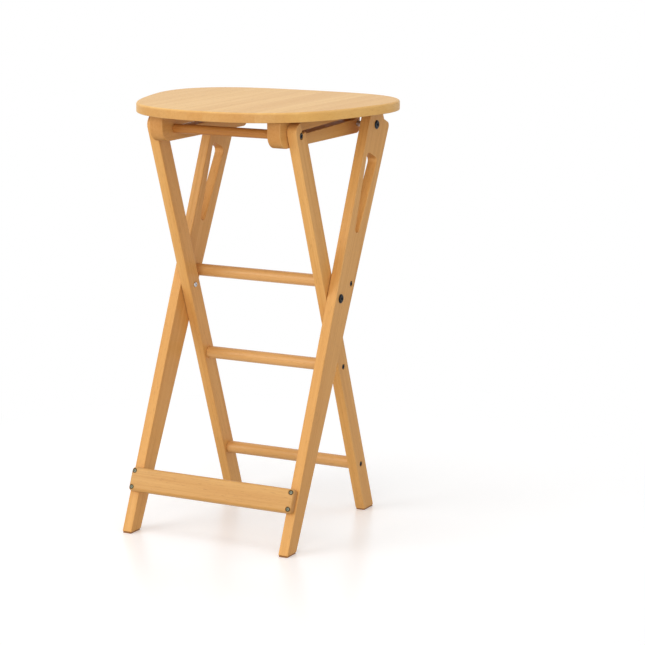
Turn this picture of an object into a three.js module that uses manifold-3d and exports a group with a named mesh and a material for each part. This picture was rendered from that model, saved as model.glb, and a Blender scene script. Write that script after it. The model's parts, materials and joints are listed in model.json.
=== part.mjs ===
import * as THREE from "three";
import { mergeVertices } from "three/addons/utils/BufferGeometryUtils.js";
import Module from "manifold-3d";

// Folding bar stool in plain boards: two outer legs and two inner legs cross on a pivot bolt.
// The seat turns on the tops of the outer legs and slides over a bar between the inner legs.
// Millimetres: x across the seat, y from front to rear, z up from the floor.

const kernel = await Module();
kernel.setup();

const degree = Math.PI / 180;
const quarter = Math.PI / 2;

// Whole stool
const height = 750; // floor to the top of the seat
const frameWidth = 330; // over the outer faces of the outer legs
const fit = 0.3; // gap between pieces that are fixed together
const running = 0.1; // radial gap round a shaft that turns
const sideGap = 1; // gap between boards that swing past each other
const legThick = 18;
const cleatThick = 25;

// Seat board
const seatWidth = 453.4;
const seatDepth = 396.8;
const seatThick = 17;
const seatRound = 4; // rounding of the rim
const seatLead = 0.4; // how far the seat's front stands ahead of the outer feet

// Half of the seat's outline from the middle of the rear edge to the middle of the front edge,
// as shares of half the width and of the depth from the front
const seatShares = [
  [0, 1], [0.127, 0.9993], [0.248, 0.9973], [0.381, 0.9927], [0.525, 0.9814],
  [0.675, 0.9555], [0.816, 0.9084], [0.9235, 0.8396], [0.985, 0.7542], [1, 0.6624],
  [0.981, 0.5719], [0.9465, 0.4864], [0.9065, 0.4036], [0.86, 0.3209], [0.798, 0.2387],
  [0.711, 0.1624], [0.595, 0.0984], [0.456, 0.0505], [0.304, 0.0197], [0.146, 0.0041],
];

// Leg boards
const outerLean = 23.2 * degree; // front edge of an outer leg, back from upright
const innerLean = -19.9 * degree; // inner leg, towards the front
const pivotHeight = 414.6;
const pivotSetback = 17; // front edge of either leg to the pivot
const legRound = 1.8; // rounding along the boards' edges
const footSoft = 2.5; // rounding of the feet's corners, seen from the side
const footWidth = 30.4; // outer leg at the floor
const shoulderWidth = 77.6; // outer leg at its square top cut
const crownRadius = 30;
const crownGap = 0.8; // crown to the underside of the seat
const shoulderDrop = 11.5; // top of the crown to the square cut
const shoulderRound = 8;
const crownFillet = 3; // hollow where the crown meets the square cut
const tipBeyondBar = 6; // centre of an inner leg's round end beyond the slide bar
const shoulderSoft = 2.5; // rounding of the inner leg's shoulder

// Hand grip through each outer leg
const gripDrop = 53.5; // hinge bolt to the top of the grip
const gripLength = 143;
const gripFrontWallTop = 14.6; // wood left in front of the grip, at its top
const gripFrontWallFoot = 23.4;
const gripRearWallTop = 17.2;
const gripRearWallFoot = 27.7;
const gripTopRound = 9;
const gripFootShare = 0.5; // corner rounding at the foot, as a share of the width there

// Hinge at the top of each outer leg
const hingeSetback = 28.5; // front edge of the outer leg to the hinge bolt
const hingeShank = 6;
const sleeveDiameter = 10;
const reliefClear = 2; // inner leg's round relief clear of the sleeve
const hingeTipGap = 0.4; // bolt and sleeve stop short of the cleat
const insertDiameter = 6.4;
const insertBore = 4.4;
const insertLength = 14;
const insertSunk = 0.2;

// Cleats under the seat
const cleatHeight = 46.7;
const cleatNose = 40.5; // slide bar to the front end
const cleatTail = 10.7; // hinge to the rear end
const cleatNoseRound = 24;
const cleatTailRound = 12;
const cleatCorner = 3;
const cleatRound = 1.5;

// Slide bar between the cleats, carried by the tops of the inner legs
const barDiameter = 16;
const barDrop = 26.4; // underside of the seat to the centre of the bar
const barSideGap = 0.5; // each end of the bar clear of its cleat
const barClear = 0.3; // slot clear of the bolt all round

// Rungs
const rungDiameter = 21.8;
const upperRungReach = 34; // beyond the pivot along the outer legs
const upperRungClear = 1.1; // clear of the folded inner legs
const middleRungHeight = 282.9;
const lowerRungHeight = 90.3;

// Front board
const boardReach = 96; // floor to its middle, along the outer legs' front edges
const boardHeight = 42.4;
const boardThick = 14;
const boardInset = 2.5; // each end inside the outer faces of the legs
const boardRound = 4;
const boardCorner = 6;
const boardScrewSpread = 29; // between the two screws at one end

// Pivot bolt, its washer and its nut, whose barrel carries the inner leg
const boltHead = 16;
const boltHeadHeight = 3.4;
const boltHeadRound = 1.6;
const boltSocket = 5.6;
const boltSocketDepth = 2;
const pivotShank = 5;
const pivotBite = 24; // length of the bolt inside the nut's barrel
const barrelDiameter = 7;
const barrelStart = 2; // outer face of the outer leg to the end of the barrel
const nutHead = 9.2;
const nutHeadHeight = 2.2;
const nutHeadRound = 1.4;
const nutSocket = 3.6;
const nutSocketDepth = 1.4;
const washerDiameter = 15;

// Slide bar bolts, sunk in the inner legs, through the cleats' slots into the bar
const sinkDiameter = 13;
const sinkDepth = 4.2;
const barBoltHead = 12;
const barBoltHeadHeight = 3.4;
const barBoltHeadRound = 1;
const barBoltShank = 6;
const barBoltBite = 20; // length of thread in the bar
const barBoltSocket = 4.6;

// Rung screws, sunk flush in the legs
const rungScrewHead = 9.6;
const rungScrewHeadHeight = 3;
const rungScrewHeadRound = 0.6;
const rungScrewShank = 5;
const rungScrewBite = 24;
const rungScrewSocket = 4;
const rungScrewSocketDepth = 1.6;
const rungScrewSink = 3.4;

// Wood screws of the front board and of the cleats
const woodScrewHead = 7.4;
const woodScrewRim = 0.5; // upright rim of the head above its cone
const woodScrewShank = 3.6;
const woodScrewBite = 16;
const crossLength = 4; // cross recess in the head
const crossWidth = 1;
const crossDepth = 0.9;
const cleatScrewNose = 28; // front end of the cleat to its screw
const cleatScrewSink = 1;
const cleatScrewBite = 9;
const boardScrewSink = 0.2;

// Foot pads
const padThick = 2;
const padInset = 0.6;
const padCorner = 2;
const padSoft = 0.5;
const padPin = 4;
const padPinLength = 9;

// Facets
const arcStep = 15 * degree;
const edgeSteps = 2;
const rimSteps = 3;
const rimPoints = 2; // points on the seat's rim per point of its outline
const boltSides = 20;
const screwSides = 12;
const rungSides = 24;
const weld = 1e-3;
const overrun = 1; // a cutter beyond the face that it opens

// Layout worked out from the sizes above
const seatUnder = height - seatThick;
const soleHeight = padThick + fit;
const outerFace = frameWidth / 2;
const innerFace = outerFace - legThick - sideGap;
const cleatFace = innerFace - legThick - sideGap;
const innerWidth = 2 * pivotSetback;
const pivotY =
  (pivotHeight + pivotSetback * Math.sin(outerLean)) * Math.tan(outerLean) +
  pivotSetback * Math.cos(outerLean);
const seatMiddle = seatDepth / 2 - seatLead;

// Distance beyond the pivot, along a leg, at which a line at some setback reaches a height
function reachAt(lean, setback, z) {
  return (z - pivotHeight + (setback - pivotSetback) * Math.sin(lean)) / Math.cos(lean);
}

// A point on a leg, by its distance beyond the pivot and its setback from the front edge
function onLeg(lean, reach, setback) {
  const across = setback - pivotSetback;
  return new THREE.Vector2(
    pivotY + reach * Math.sin(lean) + across * Math.cos(lean),
    pivotHeight + reach * Math.cos(lean) - across * Math.sin(lean),
  );
}

const crownHeight = seatUnder - crownGap - crownRadius;
const hingeReach = reachAt(outerLean, crownRadius, crownHeight);
const cutReach = hingeReach + crownRadius - shoulderDrop;
const barReach = reachAt(innerLean, pivotSetback, seatUnder - barDrop);
const pivot = onLeg(outerLean, 0, pivotSetback);
const hinge = onLeg(outerLean, hingeReach, hingeSetback);
const bar = onLeg(innerLean, barReach, pivotSetback);

// The slide bar's place in the cleat once the stool is folded and both pairs of legs lie flush
const barFolded = new THREE.Vector2(
  hinge.x + barReach - hingeReach,
  hinge.y + hingeSetback - pivotSetback,
);

const crownMiddle = crownRadius; // setback of the crown's centre
const filletReach = cutReach + crownFillet;
const filletSetback =
  crownMiddle +
  Math.sqrt((crownRadius + crownFillet) ** 2 - (filletReach - hingeReach) ** 2);
const crownEnd = Math.atan2(filletSetback - crownMiddle, filletReach - hingeReach);

const upperRung = onLeg(
  outerLean,
  upperRungReach,
  innerWidth + upperRungClear + rungDiameter / 2,
);
const middleRung = onInnerLeg(middleRungHeight);
const lowerRung = onInnerLeg(lowerRungHeight);

const boardMiddle = reachAt(outerLean, 0, 0) + boardReach;
const boardScrewX = outerFace - legThick / 2;
const boardScrewReaches = [-1, 1].map((row) => boardMiddle + (row * boardScrewSpread) / 2);

// The middle of an inner leg's width, at a height
function onInnerLeg(z) {
  return onLeg(innerLean, reachAt(innerLean, pivotSetback, z), pivotSetback);
}

// The front and rear ends of a leg's sole
function soleEnds(lean, width) {
  return [0, width].map((setback) => onLeg(lean, reachAt(lean, setback, soleHeight), setback).x);
}

// Width of an outer leg, which tapers from its shoulder down to its foot
function outerWidth(reach) {
  const foot = reachAt(outerLean, footWidth, 0);
  return THREE.MathUtils.mapLinear(reach, foot, cutReach, footWidth, shoulderWidth);
}

// Outlines

// Points along an arc, both ends included
function arc(centreX, centreY, radius, from, to) {
  const steps = Math.max(2, Math.ceil(Math.abs(to - from) / arcStep));
  return Array.from({ length: steps + 1 }, (_, i) => {
    const angle = from + ((to - from) * i) / steps;
    return new THREE.Vector2(
      centreX + radius * Math.cos(angle),
      centreY + radius * Math.sin(angle),
    );
  });
}

// The same arc in a leg's own directions, as corners that stay sharp
function arcOnLeg(lean, reach, setback, radius, from, to) {
  return arc(reach, setback, radius, from, to).map((point) => [
    onLeg(lean, point.x, point.y),
    0,
  ]);
}

// A closed outline whose corners, given as [point, radius], are rounded by tangent arcs
function rounded(corners) {
  const count = corners.length;
  return corners.flatMap(([at, radius], i) => {
    if (!radius) return [at];
    const toLast = corners[(i + count - 1) % count][0].clone().sub(at).normalize();
    const toNext = corners[(i + 1) % count][0].clone().sub(at).normalize();
    const half = Math.acos(THREE.MathUtils.clamp(toLast.dot(toNext), -1, 1)) / 2;
    const middle = toLast.clone().add(toNext).normalize();
    const centre = at.clone().addScaledVector(middle, radius / Math.sin(half));
    const start = at.clone().addScaledVector(toLast, radius / Math.tan(half)).sub(centre);
    const end = at.clone().addScaledVector(toNext, radius / Math.tan(half)).sub(centre);
    const turn = Math.atan2(start.cross(end), start.dot(end));
    return arc(centre.x, centre.y, radius, start.angle(), start.angle() + turn);
  });
}

function rectangle(left, right, bottom, top, radius) {
  const corner = (x, y) => [new THREE.Vector2(x, y), radius];
  return rounded([
    corner(left, bottom),
    corner(right, bottom),
    corner(right, top),
    corner(left, top),
  ]);
}

// A slot with round ends from one centre to another
function slot(from, to, radius) {
  const heading = to.clone().sub(from).angle();
  return [
    ...arc(to.x, to.y, radius, heading - quarter, heading + quarter),
    ...arc(from.x, from.y, radius, heading + quarter, heading + 3 * quarter),
  ];
}

// Solids

function solidOf(geometry) {
  const loose = geometry.index ? geometry.toNonIndexed() : geometry;
  const bare = new THREE.BufferGeometry();
  bare.setAttribute("position", loose.getAttribute("position"));
  const welded = mergeVertices(bare, weld);
  const { array } = welded.index;
  const faces = [];
  for (let i = 0; i < array.length; i += 3) {
    const [a, b, c] = [array[i], array[i + 1], array[i + 2]];
    if (a !== b && b !== c && c !== a) faces.push(a, b, c);
  }
  const mesh = new kernel.Mesh({
    numProp: 3,
    vertProperties: welded.attributes.position.array,
    triVerts: new Uint32Array(faces),
  });
  return new kernel.Manifold(mesh);
}

function geometryOf(solid) {
  const { vertProperties, triVerts } = solid.getMesh();
  const geometry = new THREE.BufferGeometry();
  geometry.setAttribute("position", new THREE.BufferAttribute(vertProperties, 3));
  geometry.setIndex(new THREE.BufferAttribute(triVerts, 1));
  const flat = geometry.toNonIndexed();
  flat.computeVertexNormals();
  return flat;
}

function cut(blank, ...cutters) {
  const removed = cutters.map(solidOf);
  return geometryOf(removed.reduce((solid, cutter) => solid.subtract(cutter), solidOf(blank)));
}

function join(first, second) {
  return geometryOf(solidOf(first).add(solidOf(second)));
}

// A board cut to an outline, with its long edges rounded over
function board(outline, holes, thick, edge, steps = edgeSteps) {
  const clockwise = THREE.ShapeUtils.isClockWise(outline);
  const shape = new THREE.Shape(clockwise ? [...outline].reverse() : outline);
  shape.holes = holes.map((hole) => new THREE.Path(hole));
  return new THREE.ExtrudeGeometry(shape, {
    depth: thick - 2 * edge,
    bevelThickness: edge,
    bevelSize: edge,
    bevelOffset: -edge,
    bevelSegments: steps,
  }).translate(0, 0, edge);
}

// Turns a board drawn from the side so that its thickness runs across the stool
function standing(geometry, nearest) {
  const across = new THREE.Matrix4().makeBasis(
    new THREE.Vector3(0, 1, 0),
    new THREE.Vector3(0, 0, 1),
    new THREE.Vector3(1, 0, 0),
  );
  return geometry.applyMatrix4(across).translate(nearest, 0, 0);
}

// The nearest face, across the stool, of a board whose outer face is given for the right side
function nearFace(side, face, thick) {
  return side > 0 ? face - thick : -face;
}

// A round rod across the stool between two places, centred on a point seen from the side
function rod(diameter, from, to, at, sides = boltSides) {
  return new THREE.CylinderGeometry(diameter / 2, diameter / 2, Math.abs(to - from), sides)
    .rotateZ(quarter)
    .translate((from + to) / 2, at.x, at.y);
}

// A turned piece: [radius, distance] pairs up its outside, along its own y axis
function turned(profile, sides) {
  return new THREE.LatheGeometry(
    profile.map(([radius, distance]) => new THREE.Vector2(radius, distance)),
    sides,
  );
}

// A turned tube, closed on itself
function tube(outer, inner, length, sides) {
  const [wide, narrow] = [outer / 2, inner / 2];
  return turned([[narrow, 0], [wide, 0], [wide, length], [narrow, length], [narrow, 0]], sides);
}

// Sends a piece made along its own y axis outwards from a side face of the stool
function outwards(geometry, side, face, at) {
  return geometry.rotateZ(-side * quarter).translate(side * face, at.x, at.y);
}

// Sets a piece on the outer legs' front edge: its x runs across, its y up the leg, its z outwards
function onFrontEdge(geometry, x, reach, off) {
  const foot = onLeg(outerLean, reach, -off);
  const placed = new THREE.Matrix4().makeBasis(
    new THREE.Vector3(1, 0, 0),
    new THREE.Vector3(0, Math.sin(outerLean), Math.cos(outerLean)),
    new THREE.Vector3(0, -Math.cos(outerLean), Math.sin(outerLean)),
  );
  return geometry.applyMatrix4(placed.setPosition(x, foot.x, foot.y));
}

// A wood screw's hole, from a little outside a face to a depth below it along -z
function pilotHole(depth) {
  const radius = woodScrewShank / 2 + fit;
  return new THREE.CylinderGeometry(radius, radius, depth + overrun, screwSides)
    .rotateX(quarter)
    .translate(0, 0, (overrun - depth) / 2);
}

// A round upright rod between two heights
function uprightRod(diameter, from, to, x, y) {
  return new THREE.CylinderGeometry(diameter / 2, diameter / 2, to - from, screwSides)
    .rotateX(quarter)
    .translate(x, y, (from + to) / 2);
}

// The hole in a foot for its pad's pin
function padPinHole(lean, width, x) {
  const [front, rear] = soleEnds(lean, width);
  return uprightRod(
    padPin + 2 * fit,
    soleHeight - overrun,
    padThick + padPinLength + fit,
    x,
    (front + rear) / 2,
  );
}

// A bolt from the tip of its shank to a low round head with a six-sided socket
function bolt({ shank, length, head, headHeight, headRound, socket, socketDepth, sides }) {
  const radius = head / 2;
  const blank = turned(
    [
      [0, -length],
      [shank / 2, -length],
      [shank / 2, 0],
      [radius, 0],
      [radius, headHeight - headRound],
      [radius - headRound * (1 - Math.SQRT1_2), headHeight - headRound * (1 - Math.SQRT1_2)],
      [radius - headRound, headHeight],
      [0, headHeight],
    ],
    sides,
  );
  const key = new THREE.CylinderGeometry(socket / 2, socket / 2, socketDepth + overrun, 6);
  return cut(blank, key.translate(0, headHeight - socketDepth / 2 + overrun / 2, 0));
}

// The low round head of the pivot and hinge bolts
const roundHead = {
  head: boltHead,
  headHeight: boltHeadHeight,
  headRound: boltHeadRound,
  socket: boltSocket,
  socketDepth: boltSocketDepth,
  sides: boltSides,
};

// A nut with a round head and a long barrel, bored for its bolt
function barrelNut(length, bore) {
  const blank = bolt({
    shank: barrelDiameter,
    length,
    head: nutHead,
    headHeight: nutHeadHeight,
    headRound: nutHeadRound,
    socket: nutSocket,
    socketDepth: nutSocketDepth,
    sides: screwSides,
  });
  const radius = pivotShank / 2 + running;
  const drill = new THREE.CylinderGeometry(radius, radius, bore + overrun, screwSides);
  return cut(blank, drill.translate(0, (bore - overrun) / 2 - length, 0));
}

// A countersunk wood screw, flush at its face, with a cross recess
function woodScrew(bite) {
  const radius = woodScrewHead / 2;
  const neck = woodScrewShank / 2;
  const blank = turned(
    [
      [0, -bite],
      [neck, woodScrewShank - bite],
      [neck, neck - radius - woodScrewRim],
      [radius, -woodScrewRim],
      [radius, 0],
      [0, 0],
    ],
    screwSides,
  );
  const arms = [
    new THREE.BoxGeometry(crossLength, crossDepth + overrun, crossWidth),
    new THREE.BoxGeometry(crossWidth, crossDepth + overrun, crossLength),
  ];
  const recessMiddle = (overrun - crossDepth) / 2;
  return cut(blank, ...arms.map((arm) => arm.translate(0, recessMiddle, 0)));
}

// The countersunk hole for a wood screw whose face lies some way below the wood's
function screwHole(sunk, depth) {
  const radius = woodScrewHead / 2 + fit;
  const neck = woodScrewShank / 2 + fit;
  const seatingTop = -sunk - woodScrewRim;
  return turned(
    [
      [0, -depth],
      [neck, -depth],
      [neck, seatingTop + neck - radius],
      [radius, seatingTop],
      [radius, overrun],
      [0, overrun],
    ],
    screwSides,
  );
}

// Materials
const materials = {
  board: { color: 0xdba058, roughness: 0.42, metalness: 0 },
  seat: { color: 0xe6b06c, roughness: 0.38, metalness: 0 },
  rung: { color: 0xda9e5a, roughness: 0.42, metalness: 0 },
  black: { color: 0x26282c, roughness: 0.35, metalness: 0.6 },
  screw: { color: 0x3c4039, roughness: 0.45, metalness: 0.7 },
  silver: { color: 0xb9bcc0, roughness: 0.3, metalness: 0.9 },
  pad: { color: 0x80583a, roughness: 0.7, metalness: 0 },
};

const group = new THREE.Group();
group.name = "folding_bar_stool";

// Names a piece and sets it with the middle of the seat over the origin
function add(name, geometry, material) {
  const mesh = new THREE.Mesh(
    geometry.translate(0, -seatMiddle, 0),
    new THREE.MeshStandardMaterial(materials[material]),
  );
  mesh.name = name;
  group.add(mesh);
}

const sides = { left: -1, right: 1 };

function eachSide(make) {
  Object.entries(sides).forEach(([name, side]) => make(name, side));
}

// Seat board

const cleatTop = seatUnder - fit;
const cleatBottom = cleatTop - cleatHeight;
const cleatFront = bar.x - cleatNose;
const cleatRear = hinge.x + cleatTail;
const cleatMiddle = cleatFace - cleatThick / 2;
const cleatScrewY = cleatFront + cleatScrewNose;
const cleatScrewLength = cleatHeight - cleatScrewSink + fit + cleatScrewBite;

function makeSeat() {
  const half = seatShares.map(
    ([across, back]) => new THREE.Vector3((across * seatWidth) / 2, back * seatDepth - seatLead, 0),
  );
  const front = new THREE.Vector3(0, -seatLead, 0);
  const left = half
    .slice(1)
    .reverse()
    .map((point) => new THREE.Vector3(-point.x, point.y, 0));
  const rim = new THREE.CatmullRomCurve3([...half, front, ...left], true);
  const outline = rim
    .getPoints(rimPoints * rim.points.length)
    .slice(0, -1)
    .map((point) => new THREE.Vector2(point.x, point.y));
  const blank = board(outline, [], seatThick, seatRound, rimSteps).translate(0, 0, seatUnder);
  const pilots = Object.values(sides).map((side) =>
    uprightRod(
      woodScrewShank + 2 * fit,
      seatUnder - overrun,
      seatUnder + cleatScrewBite + fit,
      side * cleatMiddle,
      cleatScrewY,
    ),
  );
  return cut(blank, ...pilots);
}

add("seat_board", makeSeat(), "seat");

// Cleats under the seat, with the slot that lets the slide bar's bolts run back to the hinge

function makeCleat(side) {
  const outline = rounded([
    [new THREE.Vector2(cleatFront, cleatTop), cleatCorner],
    [new THREE.Vector2(cleatFront, cleatBottom), cleatNoseRound],
    [new THREE.Vector2(cleatRear, cleatBottom), cleatTailRound],
    [new THREE.Vector2(cleatRear, cleatTop), cleatCorner],
  ]);
  const run = slot(bar, barFolded, barBoltShank / 2 + barClear);
  const blank = standing(
    board(outline, [run], cleatThick, cleatRound),
    nearFace(side, cleatFace, cleatThick),
  );
  const insertHole = rod(
    insertDiameter + 2 * fit,
    side * (cleatFace - insertLength - insertSunk - fit),
    side * (cleatFace + overrun),
    hinge,
    screwSides,
  );
  const screwPath = screwHole(cleatScrewSink, cleatHeight + overrun)
    .rotateX(-quarter)
    .translate(side * cleatMiddle, cleatScrewY, cleatBottom);
  return cut(blank, insertHole, screwPath);
}

eachSide((name, side) => {
  add(`cleat_${name}`, makeCleat(side), "board");

  const insert = tube(insertDiameter, insertBore, insertLength, screwSides);
  const innerEnd = cleatFace - insertSunk - insertLength;
  add(`hinge_insert_${name}`, outwards(insert, side, innerEnd, hinge), "silver");

  const screw = woodScrew(cleatScrewLength).rotateX(-quarter);
  screw.translate(side * cleatMiddle, cleatScrewY, cleatBottom + cleatScrewSink);
  add(`cleat_screw_${name}`, screw, "screw");
});

// Outer legs: wide at the shoulder, narrow at the foot, with a round crown over the hinge

function outerLegOutline() {
  const at = (reach, setback) => onLeg(outerLean, reach, setback);
  const footFront = at(reachAt(outerLean, 0, soleHeight), 0);
  const footRear = at(reachAt(outerLean, footWidth, soleHeight), footWidth);
  const half = 2 * quarter;
  const fillet = arcOnLeg(
    outerLean,
    filletReach,
    filletSetback,
    crownFillet,
    crownEnd - half,
    -half,
  );
  return rounded([
    [footRear, footSoft],
    [footFront, footSoft],
    ...arcOnLeg(outerLean, hingeReach, crownMiddle, crownRadius, -quarter, crownEnd),
    ...fillet.slice(1),
    [at(cutReach, shoulderWidth), shoulderRound],
  ]);
}

function gripOutline() {
  const top = hingeReach - gripDrop;
  const foot = top - gripLength;
  const rearTop = outerWidth(top) - gripRearWallTop;
  const rearFoot = outerWidth(foot) - gripRearWallFoot;
  const footRound = gripFootShare * (rearFoot - gripFrontWallFoot);
  const at = (reach, setback) => onLeg(outerLean, reach, setback);
  return rounded([
    [at(top, gripFrontWallTop), gripTopRound],
    [at(top, rearTop), gripTopRound],
    [at(foot, rearFoot), footRound],
    [at(foot, gripFrontWallFoot), footRound],
  ]);
}

function makeOuterLeg(side) {
  const blank = standing(
    board(outerLegOutline(), [gripOutline()], legThick, legRound),
    nearFace(side, outerFace, legThick),
  );
  const through = [side * (outerFace + overrun), side * (outerFace - legThick - overrun)];
  const pilots = boardScrewReaches.map((reach) =>
    onFrontEdge(pilotHole(woodScrewBite), side * boardScrewX, reach, 0),
  );
  return cut(
    blank,
    rod(barrelDiameter + 2 * fit, ...through, pivot),
    rod(hingeShank + 2 * fit, ...through, hinge, screwSides),
    rod(rungScrewShank + 2 * fit, ...through, upperRung, screwSides),
    rod(rungScrewHead + 2 * fit, through[0], side * (outerFace - rungScrewSink), upperRung),
    padPinHole(outerLean, footWidth, side * (outerFace - legThick / 2)),
    ...pilots,
  );
}

eachSide((name, side) => {
  add(`outer_leg_${name}`, makeOuterLeg(side), "board");

  const pivotBolt = bolt({
    ...roundHead,
    shank: pivotShank,
    length: fit + barrelStart + pivotBite,
  });
  add(`pivot_bolt_${name}`, outwards(pivotBolt, side, outerFace + fit, pivot), "black");

  const washer = tube(washerDiameter, barrelDiameter + 2 * fit, sideGap - 2 * fit, boltSides);
  add(`pivot_washer_${name}`, outwards(washer, side, innerFace + fit, pivot), "silver");

  const nutFoot = innerFace - legThick - fit;
  const nut = barrelNut(outerFace - barrelStart - nutFoot, pivotBite + fit);
  add(`pivot_nut_${name}`, outwards(nut, -side, -nutFoot, pivot), "silver");

  const hingeBolt = bolt({
    ...roundHead,
    shank: hingeShank,
    length: outerFace + fit - cleatFace - hingeTipGap,
  });
  add(`hinge_bolt_${name}`, outwards(hingeBolt, side, outerFace + fit, hinge), "black");

  const sleeveFoot = cleatFace + hingeTipGap;
  const sleeveLength = outerFace - legThick - fit - sleeveFoot;
  const sleeve = tube(sleeveDiameter, hingeShank + 2 * fit, sleeveLength, boltSides);
  add(`hinge_sleeve_${name}`, outwards(sleeve, side, sleeveFoot, hinge), "silver");
});

// Inner legs: one width throughout, with a round tip that folds in beside the hinge sleeve

function innerLegOutline() {
  const at = (reach, setback) => onLeg(innerLean, reach, setback);
  const tip = barReach + tipBeyondBar;
  const relief = sleeveDiameter / 2 + reliefClear;
  const tongue = hingeSetback - relief;
  const tipEnd = Math.asin((tongue - pivotSetback) / pivotSetback);
  return rounded([
    [at(reachAt(innerLean, innerWidth, soleHeight), innerWidth), footSoft],
    [at(reachAt(innerLean, 0, soleHeight), 0), footSoft],
    ...arcOnLeg(innerLean, tip, pivotSetback, pivotSetback, -quarter, tipEnd),
    ...arcOnLeg(innerLean, hingeReach, hingeSetback, relief, -quarter, -2 * quarter),
    [at(hingeReach - relief, innerWidth), shoulderSoft],
  ]);
}

function makeInnerLeg(side) {
  const blank = standing(
    board(innerLegOutline(), [], legThick, legRound),
    nearFace(side, innerFace, legThick),
  );
  const outside = side * (innerFace + overrun);
  const inside = side * (innerFace - legThick - overrun);
  const screwHoles = [middleRung, lowerRung].flatMap((at) => [
    rod(rungScrewShank + 2 * fit, outside, inside, at, screwSides),
    rod(rungScrewHead + 2 * fit, outside, side * (innerFace - rungScrewSink), at),
  ]);
  return cut(
    blank,
    rod(barrelDiameter + 2 * running, outside, inside, pivot),
    rod(barBoltShank + 2 * fit, outside, inside, bar, screwSides),
    rod(sinkDiameter, outside, side * (innerFace - sinkDepth), bar),
    padPinHole(innerLean, innerWidth, side * (innerFace - legThick / 2)),
    ...screwHoles,
  );
}

const barSpan = cleatFace - cleatThick - barSideGap;

eachSide((name, side) => {
  add(`inner_leg_${name}`, makeInnerLeg(side), "board");

  const barBolt = bolt({
    shank: barBoltShank,
    length: innerFace - sinkDepth + fit - barSpan + barBoltBite,
    head: barBoltHead,
    headHeight: barBoltHeadHeight,
    headRound: barBoltHeadRound,
    socket: barBoltSocket,
    socketDepth: boltSocketDepth,
    sides: boltSides,
  });
  add(`bar_bolt_${name}`, outwards(barBolt, side, innerFace - sinkDepth + fit, bar), "black");
});

// Slide bar and rungs: round rods held by a screw into each end

function makeRod(diameter, face, at, screw, bite) {
  const blank = rod(diameter, -face, face, at, rungSides);
  const holes = Object.values(sides).map((side) =>
    rod(screw + 2 * fit, side * (face - bite - fit), side * (face + overrun), at, screwSides),
  );
  return cut(blank, ...holes);
}

const innerSpan = innerFace - legThick - fit;
const outerSpan = outerFace - legThick - fit;
add("slide_bar", makeRod(barDiameter, barSpan, bar, barBoltShank, barBoltBite), "rung");

const rungs = {
  upper_rung: { at: upperRung, span: outerSpan, face: outerFace },
  middle_rung: { at: middleRung, span: innerSpan, face: innerFace },
  lower_rung: { at: lowerRung, span: innerSpan, face: innerFace },
};

Object.entries(rungs).forEach(([name, { at, span, face }]) => {
  add(name, makeRod(rungDiameter, span, at, rungScrewShank, rungScrewBite), "rung");
  eachSide((sideName, side) => {
    const screw = bolt({
      shank: rungScrewShank,
      length: legThick - rungScrewSink + fit + rungScrewBite,
      head: rungScrewHead,
      headHeight: rungScrewHeadHeight,
      headRound: rungScrewHeadRound,
      socket: rungScrewSocket,
      socketDepth: rungScrewSocketDepth,
      sides: screwSides,
    });
    const seated = outwards(screw, side, face - rungScrewSink + fit, at);
    add(`${name}_screw_${sideName}`, seated, "black");
  });
});

// Front board across the feet of the outer legs

function makeFrontBoard() {
  const half = outerFace - boardInset;
  const outline = rectangle(-half, half, -boardHeight / 2, boardHeight / 2, boardCorner);
  const blank = onFrontEdge(board(outline, [], boardThick, boardRound), 0, boardMiddle, fit);
  const holes = Object.values(sides).flatMap((side) =>
    boardScrewReaches.map((reach) => {
      const hole = screwHole(boardScrewSink, boardThick + overrun).rotateX(quarter);
      return onFrontEdge(hole, side * boardScrewX, reach, boardThick + fit);
    }),
  );
  return cut(blank, ...holes);
}

add("front_board", makeFrontBoard(), "board");

eachSide((name, side) => {
  ["lower", "upper"].forEach((row, i) => {
    const screw = woodScrew(boardThick - boardScrewSink + woodScrewBite).rotateX(quarter);
    const seated = onFrontEdge(
      screw,
      side * boardScrewX,
      boardScrewReaches[i],
      boardThick + fit - boardScrewSink,
    );
    add(`board_screw_${row}_${name}`, seated, "screw");
  });
});

// Foot pads, each with a pin up into its leg

function makePad(lean, width, nearest) {
  const [front, rear] = soleEnds(lean, width);
  const outline = rectangle(
    nearest + padInset,
    nearest + legThick - padInset,
    front + padInset,
    rear - padInset,
    padCorner,
  );
  const plate = board(outline, [], padThick, padSoft, 1);
  const pin = uprightRod(
    padPin,
    padThick / 2,
    padThick + padPinLength,
    nearest + legThick / 2,
    (front + rear) / 2,
  );
  return join(plate, pin);
}

eachSide((name, side) => {
  const outer = makePad(outerLean, footWidth, nearFace(side, outerFace, legThick));
  add(`foot_pad_outer_${name}`, outer, "pad");
  const inner = makePad(innerLean, innerWidth, nearFace(side, innerFace, legThick));
  add(`foot_pad_inner_${name}`, inner, "pad");
});

export default group;
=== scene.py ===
"""Folding bar stool in honey-coloured wood: fine boards, rungs and bolts over the CAD frame."""

import json
import math
from typing import NamedTuple

import bmesh
import bpy
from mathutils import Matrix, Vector
from mathutils.geometry import tessellate_polygon


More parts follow.
